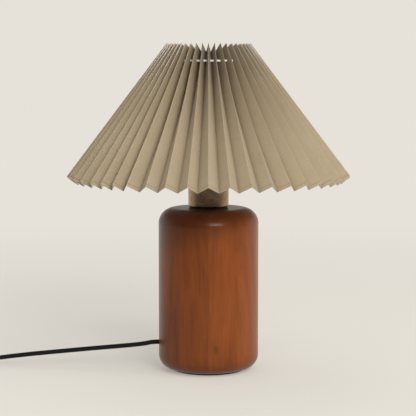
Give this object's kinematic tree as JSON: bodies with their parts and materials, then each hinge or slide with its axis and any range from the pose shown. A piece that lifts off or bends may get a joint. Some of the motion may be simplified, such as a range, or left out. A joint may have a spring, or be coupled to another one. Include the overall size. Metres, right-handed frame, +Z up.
{
  "type": "pleated paper table lamp",
  "caption": "Table lamp with a turned wooden base, brushed metal neck, corded inline switch and a cone shade of pleated paper on a wire frame.",
  "frame": {"origin": "middle of the foot pad's underside, on the lamp's axis", "axes": "+Z up along the lamp's axis; -Y is the front in the picture; the cord leaves towards -X"},
  "size_m": [0.6858, 0.339, 0.3918],
  "materials": {
    "stained_wood": "reddish walnut stain under satin lacquer",
    "black_felt": "matte black foam pad",
    "zinc_steel": "zinc plated",
    "black_rubber": "soft matte black",
    "brushed_bronze": "brushed antique brass",
    "black_plastic": "fine-grained black moulding",
    "white_ceramic": "unglazed steatite",
    "contact_brass": "stamped brass",
    "black_textile": "braided textile sleeve",
    "core_plastic": "smooth insulation",
    "white_wire": "white powder coat",
    "khaki_paper": "linen-grained khaki paper, white lining inside",
    "white_textile": "braided white cord",
    "bulb_metal": "rolled cap",
    "white_plastic": "smooth moulding",
    "opal_plastic": "opal diffuser",
    "black_strap": "soft woven strap",
    "black_gloss": "polished black moulding",
    "pin_nickel": "nickel plated"
  },
  "bodies": {
    "stand": {"wooden_base": "stained_wood", "foot_pad": "black_felt", "base_plate": "zinc_steel", "plate_screws": "zinc_steel", "lamp_rod": "zinc_steel", "rod_washer": "zinc_steel", "rod_nut": "zinc_steel", "neck_seat_ring": "black_rubber", "neck_cup": "brushed_bronze", "cup_washer": "zinc_steel", "cup_nut": "zinc_steel", "holder_body": "black_plastic", "holder_skirt": "black_plastic", "holder_insulator": "white_ceramic", "holder_shell": "contact_brass", "holder_tongue": "contact_brass", "cord_bushing": "black_plastic", "inner_lead": "black_textile", "lead_cores": "core_plastic", "power_cord_lead": "black_textile", "power_cord_tail": "black_textile", "power_cord_end": "black_textile", "power_cord_coil": "black_textile", "coil_tie": "black_strap", "switch_lower_shell": "black_plastic", "switch_upper_shell": "black_plastic", "switch_screws": "zinc_steel", "switch_contacts": "contact_brass", "switch_reliefs": "black_rubber", "plug_body": "black_plastic", "plug_pins": "pin_nickel", "plug_relief": "black_rubber"},
    "wire_frame": {"frame_fitter": "white_wire", "frame_lower_hoop": "white_wire", "frame_upper_hoop": "white_wire", "frame_arm_1": "white_wire", "frame_arm_2": "white_wire", "frame_arm_3": "white_wire", "frame_rib_1": "white_wire", "frame_rib_2": "white_wire", "frame_rib_3": "white_wire", "frame_rib_4": "white_wire", "frame_rib_5": "white_wire", "frame_rib_6": "white_wire"},
    "paper_shade": {"pleated_shade": "khaki_paper", "drawcord": "white_textile"},
    "clamp_washer": {"ring_washer": "zinc_steel"},
    "clamp_ring": {"shade_ring": "black_plastic"},
    "bulb_tip": {"bulb_contact": "bulb_metal"},
    "bulb": {"bulb_cap": "bulb_metal", "bulb_collar": "white_plastic", "bulb_globe": "opal_plastic"},
    "rocker": {"switch_rocker": "black_gloss"}
  },
  "joints": [
    {"name": "frame_turn", "type": "hinge", "parent": "stand", "child": "wire_frame", "pos_m": [0, 0, 0.2432], "axis": [0, 0, 1], "continuous": true},
    {"name": "shade_lift", "type": "slide", "parent": "wire_frame", "child": "paper_shade", "axis": [0, 0, 1], "range_m": [0, 0.17]},
    {"name": "ring_rise", "type": "slide", "parent": "stand", "child": "clamp_washer", "axis": [0, 0, 1], "range_m": [0, 0.0101]},
    {"name": "ring_turn", "type": "hinge", "parent": "clamp_washer", "child": "clamp_ring", "pos_m": [0, 0, 0.2485], "axis": [0, 0, 1], "range_deg": [0, 1440]},
    {"name": "bulb_rise", "type": "slide", "parent": "stand", "child": "bulb_tip", "axis": [0, 0, 1], "range_m": [0, 0.011]},
    {"name": "bulb_turn", "type": "hinge", "parent": "bulb_tip", "child": "bulb", "pos_m": [0, 0, 0.28], "axis": [0, 0, 1], "range_deg": [0, 1080]},
    {"name": "switch_rock", "type": "hinge", "parent": "stand", "child": "rocker", "pos_m": [-0.414, 0.014, 0.0135], "axis": [0, -1, 0], "range_deg": [0, 18]}
  ],
  "couplings": [
    {"joint": "ring_rise", "follows": "ring_turn", "m_per_rad": 0.00039789},
    {"joint": "bulb_rise", "follows": "bulb_turn", "m_per_rad": 0.00057773}
  ]
}
